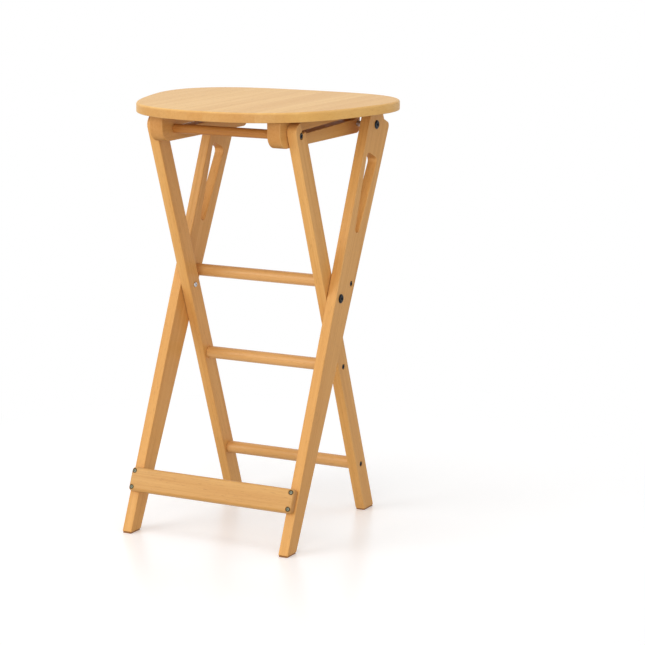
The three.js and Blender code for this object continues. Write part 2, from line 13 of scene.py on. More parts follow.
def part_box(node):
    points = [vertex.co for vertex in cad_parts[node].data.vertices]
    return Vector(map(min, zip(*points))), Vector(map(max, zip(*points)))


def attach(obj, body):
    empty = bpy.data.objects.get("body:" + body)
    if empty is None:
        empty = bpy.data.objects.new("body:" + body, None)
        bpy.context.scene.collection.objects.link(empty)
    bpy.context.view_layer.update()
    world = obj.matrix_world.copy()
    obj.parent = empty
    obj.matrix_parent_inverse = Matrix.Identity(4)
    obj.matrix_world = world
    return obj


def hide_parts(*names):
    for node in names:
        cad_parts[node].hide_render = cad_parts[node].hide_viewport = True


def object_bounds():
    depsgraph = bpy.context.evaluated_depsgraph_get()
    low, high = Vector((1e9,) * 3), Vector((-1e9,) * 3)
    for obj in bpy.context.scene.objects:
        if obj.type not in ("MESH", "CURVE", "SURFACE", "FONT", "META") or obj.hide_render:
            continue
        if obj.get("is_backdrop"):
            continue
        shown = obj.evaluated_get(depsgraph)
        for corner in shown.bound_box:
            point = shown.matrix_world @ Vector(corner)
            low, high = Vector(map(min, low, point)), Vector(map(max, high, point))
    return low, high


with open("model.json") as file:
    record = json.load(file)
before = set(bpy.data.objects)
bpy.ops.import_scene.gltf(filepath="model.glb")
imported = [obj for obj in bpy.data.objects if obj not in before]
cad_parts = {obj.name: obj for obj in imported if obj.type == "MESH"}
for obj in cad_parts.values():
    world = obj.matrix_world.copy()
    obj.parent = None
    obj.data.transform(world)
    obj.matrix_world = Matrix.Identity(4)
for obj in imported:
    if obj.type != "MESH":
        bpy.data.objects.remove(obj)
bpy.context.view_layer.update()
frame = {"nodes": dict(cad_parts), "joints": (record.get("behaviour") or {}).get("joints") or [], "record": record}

QUARTER = math.pi / 2
MM = 0.001
ORIGIN = Vector((0, 0, 0))
ACROSS = Vector((1, 0, 0))
BACK = Vector((0, 1, 0))
UP = Vector((0, 0, 1))
DOWN = Vector((0, 0, -1))

# Facets
ARC_STEP = math.radians(5)
FEWEST_ARC_STEPS = 2
EDGE_STEPS = 5
RIM_POINTS = 4  # points on the seat's rim for each point of the frame's seat
ROUND_SIDES = 64
HEAD_SIDES = 48
SHARP = math.radians(32)  # a crease that turns more than this stays sharp
LOT_STEP = 0.377  # how far apart in the timber two pieces' grain is taken

# Joints and leg directions, seen from the side as (y, z)
joints = {joint["name"]: joint for joint in frame["joints"]}
pivot = Vector(joints["frame_fold"]["pos_m"][1:])
bar = Vector(joints["bar_turn"]["pos_m"][1:])
OUTER_LEAN = math.radians(23.2)
INNER_LEAN = math.radians(-19.9)
PIVOT_SETBACK = 17 * MM  # front edge of either leg to the pivot
INNER_WIDTH = 2 * PIVOT_SETBACK

# Outer leg
FOOT_WIDTH = 30.4 * MM
SHOULDER_WIDTH = 77.6 * MM
CROWN_RADIUS = 30 * MM
SHOULDER_DROP = 11.5 * MM  # top of the crown down to the square cut
SHOULDER_ROUND = 8 * MM
CROWN_FILLET = 3 * MM
FOOT_ROUND = 1.7 * MM
LEG_EDGE = 1.3 * MM

# Hand grip; a pair gives the wall beside its top and the wall beside its foot
GRIP_DROP = 53.5 * MM  # hinge down to the grip's top
GRIP_LENGTH = 143 * MM
GRIP_FRONT_WALLS = (14.6 * MM, 23.4 * MM)
GRIP_REAR_WALLS = (17.2 * MM, 27.7 * MM)
GRIP_TOP_ROUND = 9 * MM
GRIP_FOOT_SHARE = 0.5  # rounding of the foot over the grip's width there

# Inner leg
TIP_BEYOND_BAR = 6 * MM  # slide bar to the centre of the round tip
SLEEVE_RELIEF = 7 * MM  # radius of the hollow that clears the hinge sleeve
SHOULDER_SOFT = 2.5 * MM

# Cleats
CLEAT_NOSE_ROUND = 24 * MM
CLEAT_TAIL_ROUND = 12 * MM
CLEAT_CORNER = 3 * MM
CLEAT_EDGE = 1.3 * MM
SLOT_CLEAR = 0.3 * MM
SLOT_EDGE = 0.8 * MM

# Front board and seat
BOARD_CORNER = 6 * MM
BOARD_EDGE = 5.5 * MM
BOARD_BACK_EDGE = 2 * MM
SEAT_EDGE = 4 * MM
SEAT_UNDER_EDGE = 1.5 * MM
RIM_LEVEL_CLEAR = 0.1 * MM  # how far off the seat's widest level a point may lie
RIM_PLACE_DIGITS = 5  # decimals of a metre to which its points are told apart

# Holes
HOLE_EDGE = 0.25 * MM
SCREW_CLEAR = 0.3 * MM
SCREW_SINK = 3.4 * MM
BAR_BOLT_SINK_RADIUS = 6.5 * MM
BAR_BOLT_SINK_DEPTH = 4.2 * MM
COUNTERSINK_WIDTH = 9.4 * MM
COUNTERSINK_DEPTH = 3.6 * MM
CUTTER_OVERRUN = 1 * MM
WELD = 0.02 * MM  # points closer than this become one after a cut

# Wood screws
WOOD_SCREW_HEAD_WIDTH = 7.4 * MM
WOOD_SCREW_SHANK_WIDTH = 3.6 * MM
WOOD_SCREW_RIM = 0.4 * MM
WOOD_SCREW_SUNK = 0.5 * MM
WOOD_SCREW_POINT = 0.125  # radius of the blunt point over the shank's
CROSS_REACH = 2.1 * MM
CROSS_DEPTH = 2 * MM
ARM_SHARE = 0.36  # width of a cross recess over its length

# Pivot nuts
NUT_BARREL_WIDTH = 7 * MM
NUT_HEAD_WIDTH = 9.2 * MM
NUT_HEAD_HEIGHT = 2.2 * MM
NUT_DOME = 1.5 * MM
NUT_SOCKET_RADIUS = 1.8 * MM
NUT_SOCKET_DEPTH = 1.4 * MM
NUT_BORE_RADIUS = 2.6 * MM
NUT_BORE_DEPTH = 24.3 * MM

# Rods and bolts
ROD_CHAMFER = 0.5 * MM
TIP_CHAMFER = 0.6 * MM
FLAT_SHARE = 0.74  # flat face of a bolt's head over its width
RIM_SHARE = 0.3  # upright rim of a bolt's head over its height
FACE_SOFT = 0.15 * MM
SOCKET_DEPTH = 2 * MM
RECESS_TAPER = 0.86  # floor of a recess over its mouth


class Bolt(NamedTuple):
    """The sizes of a round-headed bolt. solid_head is the height of the head in the frame."""

    head_radius: float
    solid_head: float
    head_height: float
    shank_width: float
    socket_radius: float


PIVOT_BOLT = Bolt(8 * MM, 3.4 * MM, 2.2 * MM, 5 * MM, 2.8 * MM)
HINGE_BOLT = PIVOT_BOLT._replace(shank_width=6 * MM)
BAR_BOLT = Bolt(6 * MM, 3.4 * MM, 3.4 * MM, 6 * MM, 2.3 * MM)
RUNG_SCREW = Bolt(4.8 * MM, 3 * MM, 3 * MM, 5 * MM, 2 * MM)


# Layout taken from the frame


def middle(node):
    low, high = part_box(node)
    return (low + high) / 2


def span(node, direction):
    """The nearest and farthest distance of a node along a direction."""
    found = [v.co.dot(direction) for v in frame["nodes"][node].data.vertices]
    return min(found), max(found)


def side_point(node):
    """The middle of a node seen from the side."""
    return Vector(middle(node)[1:])


def side_vector(direction):
    """A direction seen from the side, as one of the whole stool."""
    return Vector((0, *direction))


def axis_point(node, direction):
    """The point of a round node's axis that is level with the origin along it."""
    ways = (ACROSS, ACROSS.cross(direction))
    return sum((way * sum(span(node, way)) / 2 for way in ways), ORIGIN)


def leg_axes(lean):
    """The directions up a leg and from its front edge to its rear edge."""
    along = Vector((math.sin(lean), math.cos(lean)))
    across = Vector((math.cos(lean), -math.sin(lean)))
    return along, across


def on_leg(lean, reach, setback):
    """A point on a leg, by its distance beyond the pivot and its setback from the front edge."""
    along, across = leg_axes(lean)
    return pivot + along * reach + across * (setback - PIVOT_SETBACK)


def reach_at(lean, setback, height):
    """How far beyond the pivot a leg is at a height, at a setback from its front edge."""
    rise = (setback - PIVOT_SETBACK) * math.sin(lean)
    return (height - pivot.y + rise) / math.cos(lean)


hinge = side_point("hinge_insert_right")
outer_along, outer_across = leg_axes(OUTER_LEAN)
inner_along, inner_across = leg_axes(INNER_LEAN)
hinge_reach = (hinge - pivot).dot(outer_along)
hinge_setback = (hinge - pivot).dot(outer_across) + PIVOT_SETBACK
bar_reach = (bar - pivot).length
# The square cut behind the crown of an outer leg
cut_reach = hinge_reach + CROWN_RADIUS - SHOULDER_DROP
# Where the slide bar lies in the cleats of the folded stool
bar_folded = hinge + Vector((bar_reach - hinge_reach, hinge_setback - PIVOT_SETBACK))
# How high the wood of the feet begins
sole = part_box("outer_leg_right")[0].z


# Outlines


def arc(centre, radius, start, end):
    """Points along an arc, both ends included."""
    steps = max(FEWEST_ARC_STEPS, math.ceil(abs(end - start) / ARC_STEP))
    angles = [start + (end - start) * i / steps for i in range(steps + 1)]
    return [centre + radius * Vector((math.cos(a), math.sin(a))) for a in angles]


def arc_on_leg(lean, reach, setback, radius, start, end):
    """The same arc in a leg's own directions, as corners that stay sharp."""
    points = arc(Vector((reach, setback)), radius, start, end)
    return [(on_leg(lean, point.x, point.y), 0) for point in points]


def circle(centre, radius):
    return arc(centre, radius, 0, 2 * math.pi)[:-1]


def angle_of(vector):
    return math.atan2(vector.y, vector.x)


def with_neighbours(points):
    """Each item of a closed list, between the one before it and the one after it."""
    return zip(points[-1:] + points[:-1], points, points[1:] + points[:1])


def rounded(corners):
    """A closed outline whose corners, given as (point, radius), are rounded by tangent arcs."""
    outline = []
    for (before, _), (at, radius), (after, _) in with_neighbours(corners):
        if not radius:
            outline.append(at)
            continue
        to_last = (before - at).normalized()
        to_next = (after - at).normalized()
        half = to_last.angle(to_next) / 2
        centre = at + (to_last + to_next).normalized() * radius / math.sin(half)
        start = at + to_last * radius / math.tan(half) - centre
        end = at + to_next * radius / math.tan(half) - centre
        turn = math.atan2(start.x * end.y - start.y * end.x, start.dot(end))
        outline += arc(centre, radius, angle_of(start), angle_of(start) + turn)
    return outline


def slot(first, last, radius):
    """A slot with round ends between two centres."""
    heading = angle_of(last - first)
    return arc(last, radius, heading - QUARTER, heading + QUARTER) + arc(
        first, radius, heading + QUARTER, heading + 3 * QUARTER
    )


def foot_corners(lean, width):
    """The rear and the front corner of a leg's foot."""
    return [
        (on_leg(lean, reach_at(lean, setback, sole), setback), FOOT_ROUND)
        for setback in (width, 0)
    ]


def outer_leg_outline():
    """A round crown over the hinge, with a small fillet where it meets the square cut."""
    fillet_reach = cut_reach + CROWN_FILLET
    apart = CROWN_RADIUS + CROWN_FILLET
    fillet_setback = CROWN_RADIUS + math.sqrt(apart**2 - (fillet_reach - hinge_reach) ** 2)
    crown_end = math.atan2(fillet_setback - CROWN_RADIUS, fillet_reach - hinge_reach)
    crown = arc_on_leg(OUTER_LEAN, hinge_reach, CROWN_RADIUS, CROWN_RADIUS, -QUARTER, crown_end)
    fillet = arc_on_leg(
        OUTER_LEAN,
        fillet_reach,
        fillet_setback,
        CROWN_FILLET,
        crown_end - 2 * QUARTER,
        -2 * QUARTER,
    )
    shoulder = (on_leg(OUTER_LEAN, cut_reach, SHOULDER_WIDTH), SHOULDER_ROUND)
    return rounded([*foot_corners(OUTER_LEAN, FOOT_WIDTH), *crown, *fillet[1:], shoulder])


def grip_outline():
    floor_reach = reach_at(OUTER_LEAN, FOOT_WIDTH, 0)

    def leg_width(reach):
        share = (reach - floor_reach) / (cut_reach - floor_reach)
        return FOOT_WIDTH + share * (SHOULDER_WIDTH - FOOT_WIDTH)

    top = hinge_reach - GRIP_DROP
    foot = top - GRIP_LENGTH
    front_top, front_foot = GRIP_FRONT_WALLS
    rear_top = leg_width(top) - GRIP_REAR_WALLS[0]
    rear_foot = leg_width(foot) - GRIP_REAR_WALLS[1]
    foot_round = GRIP_FOOT_SHARE * (rear_foot - front_foot)
    return rounded(
        [
            (on_leg(OUTER_LEAN, top, front_top), GRIP_TOP_ROUND),
            (on_leg(OUTER_LEAN, top, rear_top), GRIP_TOP_ROUND),
            (on_leg(OUTER_LEAN, foot, rear_foot), foot_round),
            (on_leg(OUTER_LEAN, foot, front_foot), foot_round),
        ]
    )


def inner_leg_outline():
    tongue = hinge_setback - SLEEVE_RELIEF
    tip_end = math.asin((tongue - PIVOT_SETBACK) / PIVOT_SETBACK)
    tip = arc_on_leg(
        INNER_LEAN,
        bar_reach + TIP_BEYOND_BAR,
        PIVOT_SETBACK,
        PIVOT_SETBACK,
        -QUARTER,
        tip_end,
    )
    relief = arc_on_leg(
        INNER_LEAN, hinge_reach, hinge_setback, SLEEVE_RELIEF, -QUARTER, -2 * QUARTER
    )
    shoulder = (on_leg(INNER_LEAN, hinge_reach - SLEEVE_RELIEF, INNER_WIDTH), SHOULDER_SOFT)
    return rounded([*foot_corners(INNER_LEAN, INNER_WIDTH), *tip, *relief, shoulder])


def cleat_outline():
    low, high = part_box("cleat_right")
    return rounded(
        [
            (Vector((low.y, high.z)), CLEAT_CORNER),
            (Vector((low.y, low.z)), CLEAT_NOSE_ROUND),
            (Vector((high.y, low.z)), CLEAT_TAIL_ROUND),
            (Vector((high.y, high.z)), CLEAT_CORNER),
        ]
    )


def on_curve(before, here, after, beyond, share):
    """A point from here to after, on the cubic curve that runs smoothly through all four."""
    return 0.5 * (
        2 * here
        + (after - before) * share
        + (2 * before - 5 * here + 4 * after - beyond) * share**2
        + (3 * here - before - 3 * after + beyond) * share**3
    )


def seat_outline():
    """A smooth closed curve through the widest points of the frame's seat."""
    low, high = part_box("seat_board")
    rim_level = high.z - SEAT_EDGE
    found = {
        (round(v.co.x, RIM_PLACE_DIGITS), round(v.co.y, RIM_PLACE_DIGITS))
        for v in frame["nodes"]["seat_board"].data.vertices
        if abs(v.co.z - rim_level) < RIM_LEVEL_CLEAR
    }
    points = sorted((Vector(place) for place in found), key=angle_of)
    outline = []
    for i, here in enumerate(points):
        before, after, beyond = (points[(i + step) % len(points)] for step in (-1, 1, 2))
        for k in range(RIM_POINTS):
            at = on_curve(before, here, after, beyond, k / RIM_POINTS)
            outline.append(Vector((min(max(at.x, low.x), high.x), at.y)))
    return outline


# Meshes


def signed_area(points):
    """The area inside a closed outline, above 0 where it runs anticlockwise."""
    return sum(a.x * b.y - b.x * a.y for a, b in zip(points, points[1:] + points[:1])) / 2


def inset(points, distance):
    """A closed outline moved to its left by a distance."""
    moved = []
    for before, at, after in with_neighbours(points):
        first = (at - before).normalized()
        second = (after - at).normalized()
        normals = Vector((-first.y, first.x)), Vector((-second.y, second.x))
        miter = (normals[0] + normals[1]) / (1 + normals[0].dot(normals[1]))
        moved.append(at + miter * distance)
    return moved


def outward(points):
    """The direction to the right at each point of an outline: outward if it is anticlockwise."""
    found = []
    for before, at, after in with_neighbours(points):
        run = (at - before).normalized() + (after - at).normalized()
        found.append(Vector((run.y, -run.x)).normalized())
    return found


def settle(name, bm, normals=None):
    """Makes an object of a mesh. Its normals are given point by point, or come from its faces.

    The number of meshes made so far says from which lot of timber the piece is cut.
    """
    bmesh.ops.recalc_face_normals(bm, faces=bm.faces)
    mesh = bpy.data.meshes.new(name)
    bm.to_mesh(mesh)
    bm.free()
    mesh.shade_smooth()
    if normals:
        mesh.normals_split_custom_set_from_vertices(normals)
    else:
        mesh.set_sharp_from_angle(angle=SHARP)
    lot = mesh.attributes.new("lot", "FLOAT", "POINT")
    lot.data.foreach_set("value", [len(bpy.data.meshes) * LOT_STEP % 1] * len(mesh.vertices))
    piece = bpy.data.objects.new(name, mesh)
    bpy.context.scene.collection.objects.link(piece)
    return piece


def board(name, outline, holes, low, high, edges, place, outer=1):
    """A board with rounded edges, drawn flat and put in place.

    edges are the rounding radii of its low and its high face. A hole is (outline, edge radius)
    or, where it is blind, (outline, edge radius, depth), and opens on the face that outer names:
    1 for the high one, -1 for the low one. Each point keeps as "edge" how much it is rubbed.
    """
    bm = bmesh.new()
    wear = bm.verts.layers.float.new("edge")
    normals = []
    caps = {-1: [], 1: []}
    origin = place(0, 0, 0)

    def add_ring(points, w, slopes, worn):
        ring = []
        for point, slope in zip(points, slopes):
            vert = bm.verts.new(place(point.x, point.y, w))
            vert[wear] = worn
            ring.append(vert)
            normals.append((place(*slope) - origin).normalized())
        return ring

    def rim(points, radius, face):
        """Rings from a wall over a rounded edge to one face, and the face's own loop."""
        level_at = high if face > 0 else low
        ways = outward(points)
        rings = []
        for step in range(EDGE_STEPS + 1):
            angle = QUARTER * step / EDGE_STEPS
            sideways, facewards = math.cos(angle), face * math.sin(angle)
            shape = inset(points, radius * (1 - math.cos(angle)))
            w = level_at - face * radius * (1 - math.sin(angle))
            slopes = [(way.x * sideways, way.y * sideways, facewards) for way in ways]
            rings.append(add_ring(shape, w, slopes, math.sin(2 * angle)))
        caps[face].append((shape, rings[-1]))
        return rings

    def join_rings(rings):
        for first, second in zip(rings, rings[1:]):
            for i in range(len(first)):
                bm.faces.new((first[i - 1], first[i], second[i], second[i - 1]))

    low_edge, high_edge = edges
    if signed_area(outline) < 0:
        outline = outline[::-1]
    join_rings([*reversed(rim(outline, low_edge, -1)), *rim(outline, high_edge, 1)])
    for points, radius, *depth in holes:
        if signed_area(points) > 0:
            points = points[::-1]
        if depth:
            mouth = rim(points, radius, outer)
            floor_at = (high if outer > 0 else low) - outer * depth[0]
            ways = [(way.x, way.y, 0) for way in outward(points)]
            wall = add_ring(points, floor_at, ways, 0)
            bottom = add_ring(points, floor_at, [(0, 0, outer)] * len(points), 0)
            bm.faces.new(bottom)
            join_rings([wall, *mouth])
        else:
            join_rings([*reversed(rim(points, radius, -1)), *rim(points, radius, 1)])
    for loops in caps.values():
        flat = [[Vector((p.x, p.y, 0)) for p in shape] for shape, _ in loops]
        verts = [vert for _, ring in loops for vert in ring]
        for triangle in tessellate_polygon(flat):
            bm.faces.new([verts[i] for i in triangle])
    return settle(name, bm, normals)


def upright(u, v, w):
    """A board that stands on its edge: drawn from the side, thick across the stool."""
    return Vector((w, u, v))


def level(u, v, w):
    """A board that lies flat: drawn from above, thick upwards."""
    return Vector((u, v, w))


def on_front_edge(u, v, w):
    """u across the stool, v up the outer legs' front edge from the pivot, w out from it."""
    side = on_leg(OUTER_LEAN, v, -w)
    return Vector((u, side.x, side.y))


def round_shape(_):
    return 1


def six_sided(angle):
    half_side = math.pi / 6
    return math.cos(half_side) / math.cos(angle % (2 * half_side) - half_side)


def crossed(angle):
    """A cross recess with straight arms."""
    eighth = math.pi / 4
    turn = abs((angle + eighth) % QUARTER - eighth)
    return min(1 / math.cos(turn), ARM_SHARE / max(math.sin(turn), ARM_SHARE))


def turned(name, profile, start, direction, recess=None, facets=HEAD_SIDES):
    """A turned piece, from (radius, distance) pairs along a direction, inner end first.

    A recess of (shape, radius, depth) is sunk into its outer end. Each point keeps its share of
    the widest radius as "girth".
    """
    axis = direction.normalized()
    first = axis.orthogonal().normalized()
    second = axis.cross(first)
    bm = bmesh.new()
    girth = bm.verts.layers.float.new("girth")
    widest = max(radius for radius, _ in profile)

    def ring(radius, distance, shape=round_shape):
        made = []
        for i in range(facets):
            angle = 2 * math.pi * i / facets
            reach = radius * shape(angle)
            way = first * math.cos(angle) + second * math.sin(angle)
            vert = bm.verts.new(start + axis * distance + way * reach)
            vert[girth] = reach / widest
            made.append(vert)
        return made

    rings = [ring(radius, distance) for radius, distance in profile]
    if recess:
        shape, radius, depth = recess
        face = profile[-1][1]
        rings.append(ring(radius, face, shape))
        rings.append(ring(radius * RECESS_TAPER, face - depth, shape))
    for one, two in zip(rings, rings[1:]):
        for i in range(facets):
            bm.faces.new((one[i - 1], one[i], two[i], two[i - 1]))
    bm.faces.new(rings[0])
    bm.faces.new(rings[-1])
    return settle(name, bm)


def countersink(piece, mouths, direction):
    """Sinks holes for screw heads into a piece from places on its face, against a direction."""
    radius = COUNTERSINK_WIDTH / 2
    profile = [(radius, -COUNTERSINK_DEPTH), (radius, CUTTER_OVERRUN)]
    cutters = []
    for mouth in mouths:
        cutter = turned("cutter", profile, mouth, direction)
        hole = piece.modifiers.new("hole", "BOOLEAN")
        hole.operation = "DIFFERENCE"
        hole.object = cutter
        cutters.append(cutter)
    piece.data.attributes.remove(piece.data.attributes["custom_normal"])
    graph = bpy.context.evaluated_depsgraph_get()
    piece.data = bpy.data.meshes.new_from_object(piece.evaluated_get(graph))
    piece.modifiers.clear()
    bm = bmesh.new()
    bm.from_mesh(piece.data)
    bmesh.ops.remove_doubles(bm, verts=bm.verts, dist=WELD)
    bmesh.ops.dissolve_degenerate(bm, dist=WELD, edges=bm.edges)
    bmesh.ops.triangulate(bm, faces=bm.faces, ngon_method="BEAUTY")
    bm.to_mesh(piece.data)
    bm.free()
    piece.data.set_sharp_from_angle(angle=SHARP)
    piece.modifiers.new("even faces", "WEIGHTED_NORMAL").keep_sharp = True
    for cutter in cutters:
        bpy.data.objects.remove(cutter)


def round_over(radius, face, rounding):
    """The outer end of a profile: a quarter round from a rim up to a face."""
    turns = [QUARTER * k / EDGE_STEPS for k in range(EDGE_STEPS + 1)]
    return [
        (radius - rounding * (1 - math.cos(t)), face - rounding * (1 - math.sin(t))) for t in turns
    ]


# Finishes

# Sockets of a Mix node that mixes colours, by number because three pairs share their names
MIX_AMOUNT = 0
MIX_FIRST = 6
MIX_SECOND = 7
MIX_RESULT = 2


class Signal:
    """One output in a node tree. Arithmetic on it adds Math nodes."""

    def __init__(self, finish, socket):
        self.finish = finish
        self.socket = socket

    def math(self, operation, *values):
        settings = {"operation": operation}
        return self.finish.node("ShaderNodeMath", settings, dict(enumerate(values)))

    def __add__(self, other):
        return self.math("ADD", self, other)

    __radd__ = __add__

    def __sub__(self, other):
        return self.math("SUBTRACT", self, other)

    def __rsub__(self, other):
        return self.math("SUBTRACT", other, self)

    def __mul__(self, other):
        return self.math("MULTIPLY", self, other)

    __rmul__ = __mul__

    def __truediv__(self, other):
        return self.math("DIVIDE", self, other)

    def __rtruediv__(self, other):
        return self.math("DIVIDE", other, self)

    def __abs__(self):
        return self.math("ABSOLUTE", self)

    def floor(self):
        return self.math("FLOOR", self)

    def between(self, low, high):
        """0 below low, 1 above high, smooth in between."""
        settings = {"interpolation_type": "SMOOTHSTEP"}
        values = {"Value": self, "From Min": low, "From Max": high}
        return self.finish.node("ShaderNodeMapRange", settings, values)


class Finish:
    """The nodes of a material, or of the world, made one by one."""

    def __init__(self, owner):
        owner.use_nodes = True
        self.owner = owner
        self.tree = owner.node_tree
        self.tree.nodes.clear()

    def node(self, kind, settings=None, values=None, output=0):
        """Makes a node with its settings and the values or links of its sockets."""
        made = self.tree.nodes.new(kind)
        for key, value in (settings or {}).items():
            setattr(made, key, value)
        for key, value in (values or {}).items():
            if isinstance(value, Signal):
                self.tree.links.new(value.socket, made.inputs[key])
            else:
                made.inputs[key].default_value = value
        return None if output is None else Signal(self, made.outputs[output])

    def coordinate(self, kind):
        return self.node("ShaderNodeTexCoord", output=kind)

    def attribute(self, name):
        """What the points of a mesh keep under a name."""
        return self.node("ShaderNodeAttribute", {"attribute_name": name}, output="Fac")

    def noise(self, vector, detail, roughness=0.5):
        values = {"Vector": vector, "Scale": 1.0, "Detail": detail, "Roughness": roughness}
        return self.node("ShaderNodeTexNoise", None, values)

    def white_noise(self, value):
        return self.node("ShaderNodeTexWhiteNoise", {"noise_dimensions": "1D"}, {"W": value})

    def stretch(self, vector, scale):
        return self.node("ShaderNodeVectorMath", {"operation": "MULTIPLY"}, {0: vector, 1: scale})

    def dot(self, vector, direction):
        """How far along a direction a vector goes."""
        values = {0: vector, 1: direction}
        return self.node("ShaderNodeVectorMath", {"operation": "DOT_PRODUCT"}, values, "Value")

    def length(self, vector):
        return self.node("ShaderNodeVectorMath", {"operation": "LENGTH"}, {0: vector}, "Value")

    def vector(self, x, y, z):
        return self.node("ShaderNodeCombineXYZ", None, {0: x, 1: y, 2: z})

    def blend(self, amount, first, second):
        """Colours mixed by an amount; either may be a colour or a signal."""
        values = {MIX_AMOUNT: amount, MIX_FIRST: first, MIX_SECOND: second}
        return self.node("ShaderNodeMix", {"data_type": "RGBA"}, values, MIX_RESULT)

    def surface(self, values, bump, bump_depth, bump_strength):
        """Joins one shader with its relief to the output and gives the material."""
        relief = {"Height": bump, "Distance": bump_depth, "Strength": bump_strength}
        values = {**values, "Normal": self.node("ShaderNodeBump", None, relief)}
        shader = self.node("ShaderNodeBsdfPrincipled", None, values)
        self.node("ShaderNodeOutputMaterial", None, {"Surface": shader}, None)
        return self.owner


def new_finish(name):
    return Finish(bpy.data.materials.new(name))


def srgb(red, green, blue):
    """A colour written in screen values from 0 to 255, turned linear by the sRGB curve."""

    def linear(value):
        value /= 255
        return value / 12.92 if value <= 0.04045 else ((value + 0.055) / 1.055) ** 2.4

    return (linear(red), linear(green), linear(blue), 1.0)


# Wood


class Mark(NamedTuple):
    """One kind of mark in wood.

    It has a width across the grain and a length along it, and comes from a noise of some detail
    and roughness, moved by shift. It shows where the noise passes from the first to the second
    value of shows. depth, dull and relief are how strongly it colours, dulls and stands out.
    """

    width: float
    length: float
    detail: float
    roughness: float = 0.55
    shift: float = 0.0
    shows: tuple = (0.0, 1.0)
    depth: float = 0.0
    dull: float = 0.0
    relief: float = 0.0


STAVE_WAVER = Mark(0.4, 1.5, 1, depth=0.3)
WANDER = Mark(50 * MM, 0.6, 2, depth=6 * MM)
BROAD_BAND = Mark(30 * MM, 0.6, 2, shows=(0.3, 0.7))
STREAK = Mark(
    4.5 * MM, 0.3, 4, roughness=0.65, shows=(0.4, 0.8), depth=0.6, dull=0.08, relief=0.4
)
FIBRE = Mark(1.2 * MM, 70 * MM, 3, roughness=0.6, shows=(0.35, 0.75), depth=0.32, relief=0.5)
PORE = Mark(0.7 * MM, 9 * MM, 1, shows=(0.62, 0.76), depth=0.28, dull=0.1, relief=0.9)
FLECK = Mark(1.6 * MM, 16 * MM, 1, shift=7, shows=(0.66, 0.76), depth=0.3, relief=0.3)
END_RING = Mark(3.5 * MM, 50 * MM, 2, roughness=0.5, depth=0.3)
RUBBED_SPOT = Mark(20 * MM, 30 * MM, 3, shows=(0.35, 0.7), depth=0.22, dull=0.1)

# How far apart in the timber pieces and staves are taken, in metres for a lot or shade of 1
LOT_ALONG = 9
LOT_DEEP = 5
STAVE_ACROSS = 3
STAVE_ALONG = 2
LOT_STAVES = 3  # the same for the row of staves, in staves

END_SLOPE = (0.55, 0.95)  # from a side face to one that cuts the grain square
END_DEPTH = 0.35
END_DULL = 0.16
UNDER_SLOPE = (0.5, 0.9)  # from a wall to a face that looks down
UNDER_DULL = 0.4
WOOD_ROUGHNESS = 0.4
WOOD_GLOSS = 0.18
LACQUER = 0.08
LACQUER_ROUGHNESS = 0.2
WOOD_RELIEF = 0.12 * MM
WOOD_RELIEF_STRENGTH = 0.35

DEEP_FLECK = srgb(150, 96, 52)
END_GRAIN = srgb(178, 116, 60)
# Painted shade: the dark colour given to faces that look down
UNDERSIDE_SHADE = srgb(128, 72, 34)
RUBBED_EDGE = srgb(238, 192, 132)


